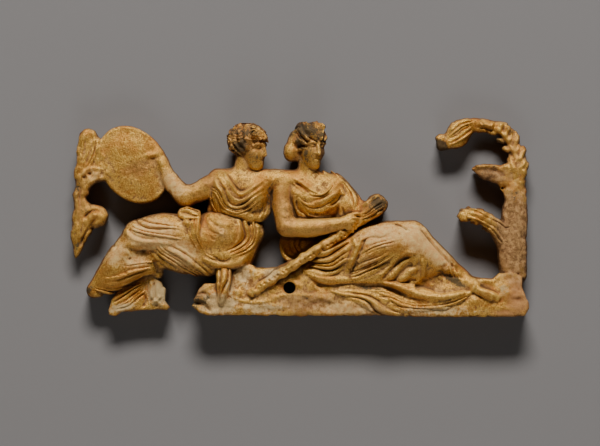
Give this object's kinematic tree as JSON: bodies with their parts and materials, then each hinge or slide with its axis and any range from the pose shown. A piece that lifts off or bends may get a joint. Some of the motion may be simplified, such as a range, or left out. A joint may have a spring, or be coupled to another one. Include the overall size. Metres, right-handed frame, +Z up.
{
  "type": "relief panel",
  "caption": "Openwork relief panel in fired clay: draped figures on a rock ledge between leafy stems, with a flat back and a nail hole.",
  "frame": {"origin": "the middle of the outline, on the flat back face that lies against what the panel is fixed to", "axes": "+X along the panel from the round disc to the arched leaf, +Y out of the flat back, so the carving faces -Y, +Z up"},
  "size_m": [0.2009, 0.0199, 0.0869],
  "materials": {
    "gilt_terracotta": "fired clay under worn ochre slip and gilding, with bare pinkish clay on the high places and dark deposits in the hollows"
  },
  "bodies": {
    "root": {"relief": "gilt_terracotta"}
  },
  "joints": []
}
